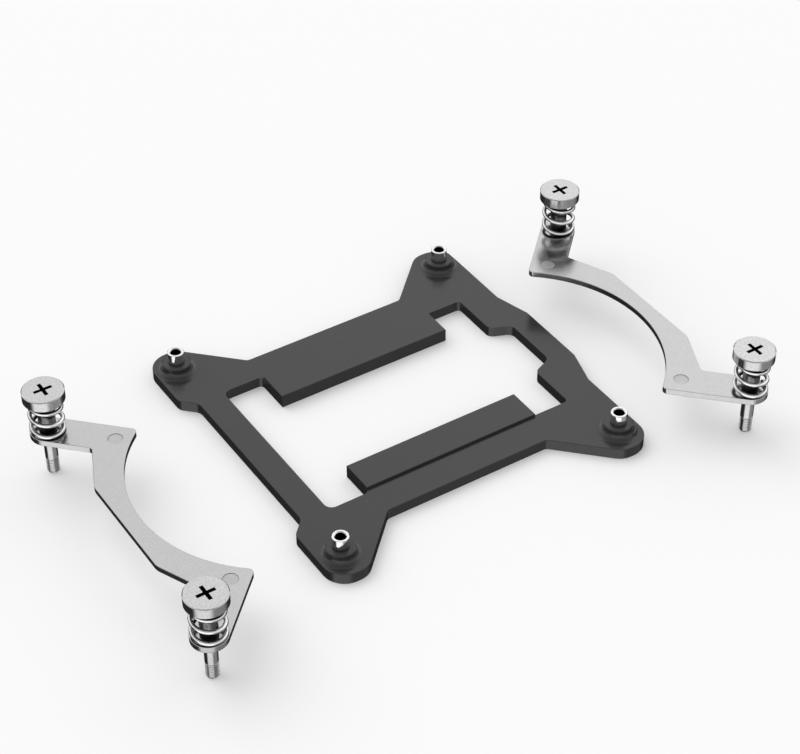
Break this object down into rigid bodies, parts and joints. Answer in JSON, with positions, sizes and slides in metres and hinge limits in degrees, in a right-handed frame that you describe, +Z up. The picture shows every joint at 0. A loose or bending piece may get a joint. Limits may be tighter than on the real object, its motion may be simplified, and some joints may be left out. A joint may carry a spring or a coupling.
{
  "type": "cpu cooler mounting bracket",
  "caption": "Cooler mounting set: a black frame-shaped backplate with flared bosses and threaded bushings, beside flat metal arms that carry captive spring screws.",
  "frame": {"origin": "centre of the four bushings, on the plane of the backplate's underside, which is the floor", "axes": "+Z up, along the bushings; +X from the plate's plain bar towards its bulged bar; +Y towards the back bar"},
  "size_m": [0.151, 0.0998, 0.0239],
  "materials": {
    "moulded_plastic": "black glass-filled nylon, finely grained, with a slight sheen",
    "bushing_metal": "bright nickel plate",
    "arm_plate": "satin nickel plate",
    "screw_metal": "nickel plate, turned",
    "spring_wire": "bright drawn wire",
    "ring_steel": "spring steel, plain"
  },
  "bodies": {
    "bracket_set": {"backplate": "moulded_plastic", "bushing_back_left": "bushing_metal", "bushing_back_right": "bushing_metal", "bushing_front_left": "bushing_metal", "bushing_front_right": "bushing_metal", "arm_left": "arm_plate", "arm_right": "arm_plate"},
    "spring_seat_left_back": {"spring_left_back": "spring_wire"},
    "spring_screw_left_back": {"screw_left_back": "screw_metal", "retaining_ring_left_back": "ring_steel"},
    "spring_seat_left_front": {"spring_left_front": "spring_wire"},
    "spring_screw_left_front": {"screw_left_front": "screw_metal", "retaining_ring_left_front": "ring_steel"},
    "spring_seat_right_back": {"spring_right_back": "spring_wire"},
    "spring_screw_right_back": {"screw_right_back": "screw_metal", "retaining_ring_right_back": "ring_steel"},
    "spring_seat_right_front": {"spring_right_front": "spring_wire"},
    "spring_screw_right_front": {"screw_right_front": "screw_metal", "retaining_ring_right_front": "ring_steel"}
  },
  "joints": [
    {"name": "press_left_back", "type": "slide", "parent": "bracket_set", "child": "spring_seat_left_back", "axis": [0, 0, -1], "range_m": [0, 0.004], "stiffness_N_per_m": 10800, "deforming": ["spring_left_back"]},
    {"name": "turn_left_back", "type": "hinge", "parent": "spring_seat_left_back", "child": "spring_screw_left_back", "pos_m": [-0.0767, 0.0242, 0.0123], "axis": [0, 0, 1], "continuous": true},
    {"name": "press_left_front", "type": "slide", "parent": "bracket_set", "child": "spring_seat_left_front", "axis": [0, 0, -1], "range_m": [0, 0.004], "stiffness_N_per_m": 10800, "deforming": ["spring_left_front"]},
    {"name": "turn_left_front", "type": "hinge", "parent": "spring_seat_left_front", "child": "spring_screw_left_front", "pos_m": [-0.0767, -0.0508, 0.0123], "axis": [0, 0, 1], "continuous": true},
    {"name": "press_right_back", "type": "slide", "parent": "bracket_set", "child": "spring_seat_right_back", "axis": [0, 0, -1], "range_m": [0, 0.004], "stiffness_N_per_m": 10800, "deforming": ["spring_right_back"]},
    {"name": "turn_right_back", "type": "hinge", "parent": "spring_seat_right_back", "child": "spring_screw_right_back", "pos_m": [0.0646, 0.0242, 0.0123], "axis": [0, 0, 1], "continuous": true},
    {"name": "press_right_front", "type": "slide", "parent": "bracket_set", "child": "spring_seat_right_front", "axis": [0, 0, -1], "range_m": [0, 0.004], "stiffness_N_per_m": 10800, "deforming": ["spring_right_front"]},
    {"name": "turn_right_front", "type": "hinge", "parent": "spring_seat_right_front", "child": "spring_screw_right_front", "pos_m": [0.0646, -0.0508, 0.0123], "axis": [0, 0, 1], "continuous": true}
  ]
}
